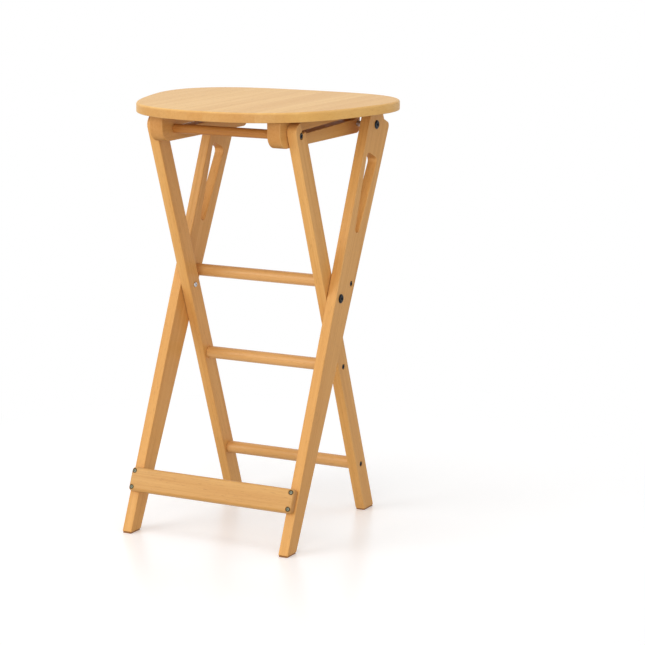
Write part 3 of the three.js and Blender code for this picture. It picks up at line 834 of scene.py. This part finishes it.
def wood(
    name, grain, across, tones, stave=0, stave_depth=0, bare_shaded_underside=0, coat=LACQUER, gloss=WOOD_GLOSS
):
    """Lacquered hardwood whose grain runs along one direction of the piece.

    tones are its pale, middle and deep colours. A stave is the width of one glued strip, and
    stave_depth how far its colour may leave the others'. The argument after stave_depth is how
    strongly its underside is painted darker as shade; that underside is then also left dull and
    unlacquered. coat is how thick the lacquer is elsewhere, and gloss how strongly the wood
    itself reflects.
    """
    finish = new_finish(name)
    place = finish.coordinate("Object")
    normal = finish.coordinate("Normal")
    lot = finish.attribute("lot")
    edge = finish.attribute("edge")
    along = finish.dot(place, grain) + lot * LOT_ALONG
    wide = finish.dot(place, across)
    deep = finish.dot(place, grain.cross(across)) + lot * LOT_DEEP

    def grained(mark):
        """Noise whose spots have about a mark's width across the grain and length along it."""
        over = wide / mark.width + mark.shift
        vector = finish.vector(over, deep / mark.width, along / mark.length)
        return finish.noise(vector, mark.detail, mark.roughness)

    if stave:
        waver = grained(STAVE_WAVER) * STAVE_WAVER.depth
        strip = (wide / stave + waver + lot * LOT_STAVES).floor()
        shade = finish.white_noise(strip)
        wide = wide + shade * STAVE_ACROSS
        along = along + shade * STAVE_ALONG
    wide = wide + grained(WANDER) * WANDER.depth
    bands = grained(BROAD_BAND).between(*BROAD_BAND.shows)
    streaks = grained(STREAK)
    fibres = grained(FIBRE)
    pores = grained(PORE).between(*PORE.shows)
    flecks = grained(FLECK).between(*FLECK.shows)

    pale, mid, dark = tones
    colour = finish.blend(bands, pale, mid)
    colour = finish.blend(streaks.between(*STREAK.shows) * STREAK.depth, colour, dark)
    if stave:
        colour = finish.blend(shade * stave_depth, colour, dark)
    colour = finish.blend(fibres.between(*FIBRE.shows) * FIBRE.depth, colour, dark)
    colour = finish.blend(flecks * FLECK.depth, colour, DEEP_FLECK)
    colour = finish.blend(pores * PORE.depth, colour, DEEP_FLECK)
    ends = abs(finish.dot(normal, grain)).between(*END_SLOPE)
    rings = grained(END_RING) * END_RING.depth
    colour = finish.blend(ends * (END_DEPTH + rings), colour, END_GRAIN)
    rubbed = edge * grained(RUBBED_SPOT).between(*RUBBED_SPOT.shows)
    colour = finish.blend(rubbed * RUBBED_SPOT.depth, colour, RUBBED_EDGE)

    roughness = WOOD_ROUGHNESS + streaks * STREAK.dull + ends * END_DULL
    roughness = roughness + rubbed * RUBBED_SPOT.dull + pores * PORE.dull
    # Faces that look down get painted shade in their colour, and are left dull and without lacquer
    if bare_shaded_underside:
        under = finish.dot(normal, DOWN).between(*UNDER_SLOPE)
        colour = finish.blend(under * bare_shaded_underside, colour, UNDERSIDE_SHADE)
        roughness = roughness + under * UNDER_DULL
        coat = (1 - under) * coat
    relief = fibres * FIBRE.relief + streaks * STREAK.relief
    relief = relief - pores * PORE.relief - flecks * FLECK.relief
    values = {
        "Base Color": colour,
        "Roughness": roughness,
        "Specular IOR Level": gloss,
        "Coat Weight": coat,
        "Coat Roughness": LACQUER_ROUGHNESS,
    }
    return finish.surface(values, relief, WOOD_RELIEF, WOOD_RELIEF_STRENGTH)


outer_up = side_vector(outer_along)
outer_back = side_vector(outer_across)
board_tones = (srgb(231, 176, 105), srgb(222, 164, 91), srgb(205, 142, 71))
# Painted shade: the front board's tones are darker than the other boards', to tone down the light on its
# upward-tilted face
front_board_shaded_tones = (srgb(213, 163, 96), srgb(205, 152, 84), srgb(190, 132, 67))
seat_tones = (srgb(239, 193, 117), srgb(232, 182, 103), srgb(218, 162, 83))
rung_tones = (srgb(229, 176, 110), srgb(221, 166, 98), srgb(206, 145, 79))
# Painted shade: the slide bar's tones are darker than the rungs', for the shade under the seat
bar_shaded_tones = (srgb(200, 137, 70), srgb(190, 126, 60), srgb(172, 106, 46))

# The seat and the cleats get painted shade on their undersides
seat_wood = wood(
    "seat_wood",
    BACK,
    ACROSS,
    seat_tones,
    stave=30 * MM,
    stave_depth=0.45,
    bare_shaded_underside=0.6,
    coat=0.1,
    gloss=0.3,
)
cleat_wood = wood("cleat_wood", BACK, UP, board_tones, bare_shaded_underside=0.4, coat=0.03)
outer_leg_wood = wood(
    "outer_leg_wood", outer_up, outer_back, board_tones, stave=34 * MM, stave_depth=0.3
)
inner_leg_wood = wood(
    "inner_leg_wood", side_vector(inner_along), side_vector(inner_across), board_tones
)
front_board_shaded_wood = wood("front_board_shaded_wood", ACROSS, outer_up, front_board_shaded_tones, coat=0.2)
rung_wood = wood("rung_wood", ACROSS, BACK, rung_tones, coat=0.3)
slide_bar_shaded_wood = wood("slide_bar_shaded_wood", ACROSS, BACK, bar_shaded_tones)


# Steel and plastic


class Speckle(NamedTuple):
    """A fine pattern on steel or plastic: how many spots a metre holds each way, and its detail.

    It shows, colours and dulls as a mark in wood does.
    """

    spots: tuple
    detail: float
    shows: tuple = (0.0, 1.0)
    depth: float = 0.0
    dull: float = 0.0


STEEL_CLOUD = Speckle((90, 90, 90), 3, shows=(0.5, 0.72), depth=0.5, dull=0.12)
STEEL_GRIT = Speckle((1400, 1400, 1400), 2, depth=0.12, dull=0.1)
TURNING_MARK = Speckle((2600, 260, 260), 2)
PLASTIC_GRAIN = Speckle((1800, 1800, 1800), 2, depth=0.15)
PLASTIC_DUST = Speckle((120, 120, 120), 3, shows=(0.5, 0.75), depth=0.4, dull=0.2)

RUBBED_SHINE = 0.06
RIM_GIRTH = (0.62, 0.8)  # from a head's plain middle to its rim, painted dark as the shade of its hole
TURNED_RELIEF = 2  # relief of the turning marks over how strongly they dull
STEEL_RELIEF = 0.04 * MM
STEEL_RELIEF_STRENGTH = 0.3
PLASTIC_ROUGHNESS = 0.62
PLASTIC_GLOSS = 0.4
PLASTIC_RELIEF = 0.05 * MM
PLASTIC_RELIEF_STRENGTH = 0.4


def speckled(finish, place, speckle):
    return finish.noise(finish.stretch(place, speckle.spots), speckle.detail)


def steel(name, tone, rubbed_tone, metallic, base_roughness, brushed=0, rim_shade_tone=None):
    """Plated or blackened steel with fine turning marks and rubbed spots.

    brushed is how strongly the turning marks dull it. A head may get a dark colour painted
    round its rim, as painted shade of the hole it sits in; the last argument gives that colour.
    """
    finish = new_finish(name)
    place = finish.coordinate("Object")
    cloud = speckled(finish, place, STEEL_CLOUD)
    grit = speckled(finish, place, STEEL_GRIT)
    marks = speckled(finish, place, TURNING_MARK)
    rubbed = cloud.between(*STEEL_CLOUD.shows)
    worn = rubbed * STEEL_CLOUD.depth + grit * STEEL_GRIT.depth
    colour = finish.blend(worn, tone, rubbed_tone)
    # Painted shade: a dark ring round a head's rim, for the shadow of the hole it sits in
    if rim_shade_tone:
        colour = finish.blend(finish.attribute("girth").between(*RIM_GIRTH), colour, rim_shade_tone)
    roughness = base_roughness + cloud * STEEL_CLOUD.dull + grit * STEEL_GRIT.dull
    roughness = roughness - rubbed * RUBBED_SHINE + marks * brushed
    relief = grit + marks * brushed * TURNED_RELIEF
    values = {"Base Color": colour, "Metallic": metallic, "Roughness": roughness}
    return finish.surface(values, relief, STEEL_RELIEF, STEEL_RELIEF_STRENGTH)


def plastic(name, tone, dusty_tone):
    """Moulded plastic with a fine grain, dusty in places."""
    finish = new_finish(name)
    place = finish.coordinate("Object")
    grain = speckled(finish, place, PLASTIC_GRAIN)
    dust = speckled(finish, place, PLASTIC_DUST).between(*PLASTIC_DUST.shows)
    dusty = dust * PLASTIC_DUST.depth + grain * PLASTIC_GRAIN.depth
    values = {
        "Base Color": finish.blend(dusty, tone, dusty_tone),
        "Roughness": PLASTIC_ROUGHNESS + dust * PLASTIC_DUST.dull,
        "Specular IOR Level": PLASTIC_GLOSS,
    }
    return finish.surface(values, grain, PLASTIC_RELIEF, PLASTIC_RELIEF_STRENGTH)


black_steel = steel(
    "black_steel", srgb(26, 28, 31), srgb(72, 76, 84), metallic=0.85, base_roughness=0.34
)
screw_steel = steel(
    "screw_steel",
    srgb(132, 134, 112),
    srgb(176, 176, 156),
    metallic=0.85,
    base_roughness=0.4,
    # painted shade round the head's rim, where it sits in its hole
    rim_shade_tone=srgb(34, 34, 28),
)
zinc_steel = steel(
    "zinc_steel",
    srgb(188, 190, 194),
    srgb(214, 215, 218),
    metallic=1,
    base_roughness=0.26,
    brushed=0.12,
)
pad_plastic = plastic("pad_plastic", srgb(158, 108, 64), srgb(180, 136, 92))


# Pieces

record = frame["record"]
body_of_node = {n: body for body, nodes in record["behaviour"]["bodies"].items() for n in nodes}
sides = {"left": -1, "right": 1}
rows = ("lower", "upper")
front_board_out = side_vector(-outer_across)


def dress(piece, node, finish):
    """Gives a fine piece its finish and sets it in its node's place."""
    piece.data.materials.append(finish)
    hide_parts(node)
    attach(piece, body_of_node[node])


def faces_of(node):
    """The leftmost and the rightmost place of a node across the stool."""
    low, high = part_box(node)
    return low.x, high.x


def ends_of(node, side):
    """The places of a node's inner and of its outer end across the stool."""
    left, right = faces_of(node)
    return (left, right) if side > 0 else (right, left)


def hole_round(node):
    """The hole round a screw's head or an insert, seen from the side."""
    low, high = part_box(node)
    return circle(side_point(node), (high.z - low.z) / 2 + SCREW_CLEAR)


def make_seat():
    low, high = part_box("seat_board")
    edges = (SEAT_UNDER_EDGE, SEAT_EDGE)
    piece = board("seat_board_fine", seat_outline(), [], low.z, high.z, edges, level)
    dress(piece, "seat_board", seat_wood)


def side_board(node, side, outline, holes, edge):
    """A board that stands on its edge at one side of the stool, in its node's place."""
    return board(f"{node}_fine", outline, holes, *faces_of(node), (edge, edge), upright, side)


def make_cleat(name, side):
    node = f"cleat_{name}"
    low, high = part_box(f"hinge_insert_{name}")
    holes = [
        (slot(bar, bar_folded, BAR_BOLT.shank_width / 2 + SLOT_CLEAR), SLOT_EDGE),
        (hole_round(f"hinge_insert_{name}"), HOLE_EDGE, high.x - low.x + 2 * SCREW_CLEAR),
    ]
    piece = side_board(node, side, cleat_outline(), holes, CLEAT_EDGE)
    mouth = middle(f"cleat_screw_{name}")
    mouth.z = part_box(node)[0].z
    countersink(piece, [mouth], DOWN)
    dress(piece, node, cleat_wood)


def make_outer_leg(name, side):
    node = f"outer_leg_{name}"
    holes = [
        (grip_outline(), LEG_EDGE),
        (hole_round(f"upper_rung_screw_{name}"), HOLE_EDGE, SCREW_SINK),
    ]
    piece = side_board(node, side, outer_leg_outline(), holes, LEG_EDGE)
    dress(piece, node, outer_leg_wood)


def make_inner_leg(name, side):
    node = f"inner_leg_{name}"
    holes = [
        (hole_round(f"middle_rung_screw_{name}"), HOLE_EDGE, SCREW_SINK),
        (hole_round(f"lower_rung_screw_{name}"), HOLE_EDGE, SCREW_SINK),
        (circle(bar, BAR_BOLT_SINK_RADIUS), HOLE_EDGE, BAR_BOLT_SINK_DEPTH),
    ]
    piece = side_board(node, side, inner_leg_outline(), holes, LEG_EDGE)
    dress(piece, node, inner_leg_wood)


def make_rod(node, finish):
    """A round rod across the stool, its ends lightly chamfered."""
    low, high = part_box(node)
    radius = (high.z - low.z) / 2
    rim = radius - ROD_CHAMFER
    length = high.x - low.x
    profile = [
        (rim, 0),
        (radius, ROD_CHAMFER),
        (radius, length - ROD_CHAMFER),
        (rim, length),
    ]
    start = Vector((low.x, *side_point(node)))
    piece = turned(f"{node}_fine", profile, start, ACROSS, facets=ROUND_SIDES)
    dress(piece, node, finish)


def make_front_board():
    node = "front_board"
    left, right = span(node, ACROSS)
    foot, top = (reach - pivot.dot(outer_along) for reach in span(node, outer_up))
    back, front = (
        depth + pivot.dot(outer_across) - PIVOT_SETBACK for depth in span(node, front_board_out)
    )
    corners = [
        (Vector(corner), BOARD_CORNER)
        for corner in ((left, foot), (right, foot), (right, top), (left, top))
    ]
    edges = (BOARD_BACK_EDGE, BOARD_EDGE)
    piece = board(f"{node}_fine", rounded(corners), [], back, front, edges, on_front_edge)
    screws = [f"board_screw_{row}_{name}" for name in sides for row in rows]
    mouths = [
        axis_point(screw, front_board_out) + front_board_out * span(node, front_board_out)[1]
        for screw in screws
    ]
    countersink(piece, mouths, front_board_out)
    dress(piece, node, front_board_shaded_wood)


def make_wood_screw(node, direction):
    """A countersunk screw with a cross recess, its face just below the wood's."""
    low, high = span(node, direction)
    length = high - low - WOOD_SCREW_SUNK
    neck = WOOD_SCREW_SHANK_WIDTH / 2
    head = WOOD_SCREW_HEAD_WIDTH / 2
    profile = [
        (neck * WOOD_SCREW_POINT, 0),
        (neck, WOOD_SCREW_SHANK_WIDTH),
        (neck, length - WOOD_SCREW_RIM - head + neck),
        (head, length - WOOD_SCREW_RIM),
        (head, length - FACE_SOFT),
        (head - FACE_SOFT, length),
    ]
    start = axis_point(node, direction) + direction * low
    recess = (crossed, CROSS_REACH, CROSS_DEPTH)
    piece = turned(f"{node}_fine", profile, start, direction, recess)
    dress(piece, node, screw_steel)


def make_bolt(node, side, bolt):
    """A bolt through the side of the stool, with a wide chamfer round a flat face."""
    tip, face = ends_of(node, side)
    seat = abs(face - tip) - bolt.solid_head
    length = seat + bolt.head_height
    shank = bolt.shank_width / 2
    flat = bolt.head_radius * FLAT_SHARE
    profile = [
        (shank - TIP_CHAMFER, 0),
        (shank, TIP_CHAMFER),
        (shank, seat),
        (bolt.head_radius, seat),
        (bolt.head_radius, seat + bolt.head_height * RIM_SHARE),
        (flat + FACE_SOFT, length - FACE_SOFT),
        (flat, length),
        (bolt.socket_radius + 2 * FACE_SOFT, length),
        (bolt.socket_radius + FACE_SOFT, length - FACE_SOFT),
    ]
    start = Vector((tip, *side_point(node)))
    recess = (six_sided, bolt.socket_radius, SOCKET_DEPTH)
    piece = turned(f"{node}_fine", profile, start, ACROSS * side, recess)
    dress(piece, node, black_steel)


def make_pivot_nut(name, side):
    """A long nut with a low domed head on the inside, its barrel bored for the pivot bolt."""
    node = f"pivot_nut_{name}"
    head, tip = ends_of(node, side)
    length = abs(tip - head)
    seat = length - NUT_HEAD_HEIGHT
    profile = [
        (NUT_BORE_RADIUS, NUT_BORE_DEPTH),
        (NUT_BORE_RADIUS, 0),
        (NUT_BARREL_WIDTH / 2, 0),
        (NUT_BARREL_WIDTH / 2, seat),
        (NUT_HEAD_WIDTH / 2, seat),
        *round_over(NUT_HEAD_WIDTH / 2, length, NUT_DOME),
    ]
    start = Vector((tip, *side_point(node)))
    recess = (six_sided, NUT_SOCKET_RADIUS, NUT_SOCKET_DEPTH)
    piece = turned(f"{node}_fine", profile, start, ACROSS * -side, recess)
    dress(piece, node, zinc_steel)


def make_fastenings(name, side):
    make_bolt(f"pivot_bolt_{name}", side, PIVOT_BOLT)
    make_bolt(f"hinge_bolt_{name}", side, HINGE_BOLT)
    make_bolt(f"bar_bolt_{name}", side, BAR_BOLT)
    for rung in ("upper", "middle", "lower"):
        make_bolt(f"{rung}_rung_screw_{name}", side, RUNG_SCREW)
    make_pivot_nut(name, side)
    make_wood_screw(f"cleat_screw_{name}", DOWN)
    for row in rows:
        make_wood_screw(f"board_screw_{row}_{name}", front_board_out)


def make_all():
    make_seat()
    make_front_board()
    make_rod("slide_bar", slide_bar_shaded_wood)
    for node in ("upper_rung", "middle_rung", "lower_rung"):
        make_rod(node, rung_wood)
    for name, side in sides.items():
        make_cleat(name, side)
        make_outer_leg(name, side)
        make_inner_leg(name, side)
        make_fastenings(name, side)


def finish_kept_pieces():
    """Gives their finish to the pieces of the frame that are shown as they are."""
    finishes = {
        "hinge_insert": zinc_steel,
        "hinge_sleeve": zinc_steel,
        "pivot_washer": zinc_steel,
        "foot_pad": pad_plastic,
    }
    for node, piece in frame["nodes"].items():
        for start_of_name, finish in finishes.items():
            if node.startswith(start_of_name):
                piece.data.materials.clear()
                piece.data.materials.append(finish)


make_all()
finish_kept_pieces()


# Floor, light and camera

WHITE = (1, 1, 1, 1)
FLOOR_SIZE = 9
FLOOR_SQUARES = 4
FLOOR_TONE = (0.58, 0.58, 0.58, 1)
FLOOR_ROUGHNESS = 0.3
FLOOR_LIFT = 0.12  # light that the near floor adds to what it reflects
FLOOR_FADE = (0.45, 0.95)  # distances from which and at which the floor is plain white
AMBIENT = 0.68
SOFTBOXES = {  # place, size and power
    "overhead": ((-0.2, -0.4, 2.7), 1.8, 9.2),
    "front_left": ((-2.3, -2.8, 1.9), 2.4, 40),
    "front": ((1.5, -4.2, 1.1), 3, 77),
}
CAMERA_PLACE = (2.0157, -3.5743, 1.1784)
CAMERA_TURN = (78.674, 0, 27.834)  # degrees
CAMERA_LENS = 132.2
CAMERA_REACH = 60


def show_white(finish, lit, white):
    """The camera and mirrors see white surroundings; every other ray meets a lit surface."""
    camera_ray, glossy_ray, clear_ray = (
        finish.node("ShaderNodeLightPath", output=name)
        for name in ("Is Camera Ray", "Is Glossy Ray", "Is Transmission Ray")
    )
    seen = camera_ray + glossy_ray + clear_ray
    return finish.node("ShaderNodeMixShader", None, {0: seen, 1: lit, 2: white})


def make_floor():
    """A white floor that keeps the stool's shadow and turns plain white farther out."""
    bm = bmesh.new()
    bmesh.ops.create_grid(
        bm, x_segments=FLOOR_SQUARES, y_segments=FLOOR_SQUARES, size=FLOOR_SIZE
    )
    mesh = bpy.data.meshes.new("floor")
    bm.to_mesh(mesh)
    bm.free()
    floor = bpy.data.objects.new("floor", mesh)
    bpy.context.scene.collection.objects.link(floor)

    finish = new_finish("floor_white")
    distance = finish.length(finish.coordinate("Object"))
    lit = finish.node("ShaderNodeBsdfDiffuse", None, {"Color": FLOOR_TONE})
    gloss = {"Base Color": WHITE, "Roughness": FLOOR_ROUGHNESS}
    shown = finish.node("ShaderNodeBsdfPrincipled", None, gloss)
    lift = finish.node("ShaderNodeEmission", None, {"Color": WHITE, "Strength": FLOOR_LIFT})
    near = finish.node("ShaderNodeAddShader", None, {0: shown, 1: lift})
    far = finish.node("ShaderNodeEmission", None, {"Color": WHITE, "Strength": 1.0})
    fade = distance.between(*FLOOR_FADE)
    white = finish.node("ShaderNodeMixShader", None, {0: fade, 1: near, 2: far})
    surface = show_white(finish, lit, white)
    finish.node("ShaderNodeOutputMaterial", None, {"Surface": surface}, None)
    mesh.materials.append(finish.owner)
    floor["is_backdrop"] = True


def make_world():
    """Even light from all round, with plain white behind the stool."""
    world = bpy.data.worlds.new("studio")
    bpy.context.scene.world = world
    studio = Finish(world)
    lit = studio.node("ShaderNodeBackground", None, {"Color": WHITE, "Strength": AMBIENT})
    white = studio.node("ShaderNodeBackground", None, {"Color": WHITE, "Strength": 1.0})
    surface = show_white(studio, lit, white)
    studio.node("ShaderNodeOutputWorld", None, {"Surface": surface}, None)


def add_softbox(name, at, size, power, aim):
    """A square lamp that looks at a point."""
    light = bpy.data.lights.new(name, "AREA")
    light.shape = "SQUARE"
    light.size = size
    light.energy = power
    lamp = bpy.data.objects.new(name, light)
    bpy.context.scene.collection.objects.link(lamp)
    lamp.location = at
    lamp.rotation_euler = (aim - Vector(at)).to_track_quat("-Z", "Y").to_euler()


def place_camera():
    """The photograph's own view."""
    camera = bpy.data.objects.new("camera", bpy.data.cameras.new("camera"))
    bpy.context.scene.collection.objects.link(camera)
    camera.location = CAMERA_PLACE
    camera.rotation_euler = [math.radians(angle) for angle in CAMERA_TURN]
    camera.data.lens = CAMERA_LENS
    camera.data.clip_end = CAMERA_REACH
    bpy.context.scene.camera = camera
    bpy.context.scene.view_settings.view_transform = "Standard"


make_floor()
make_world()
stool_middle = sum(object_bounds(), ORIGIN) / 2
for name, (at, size, power) in SOFTBOXES.items():
    add_softbox(name, at, size, power, stool_middle)
place_camera()

bpy.context.view_layer.update()
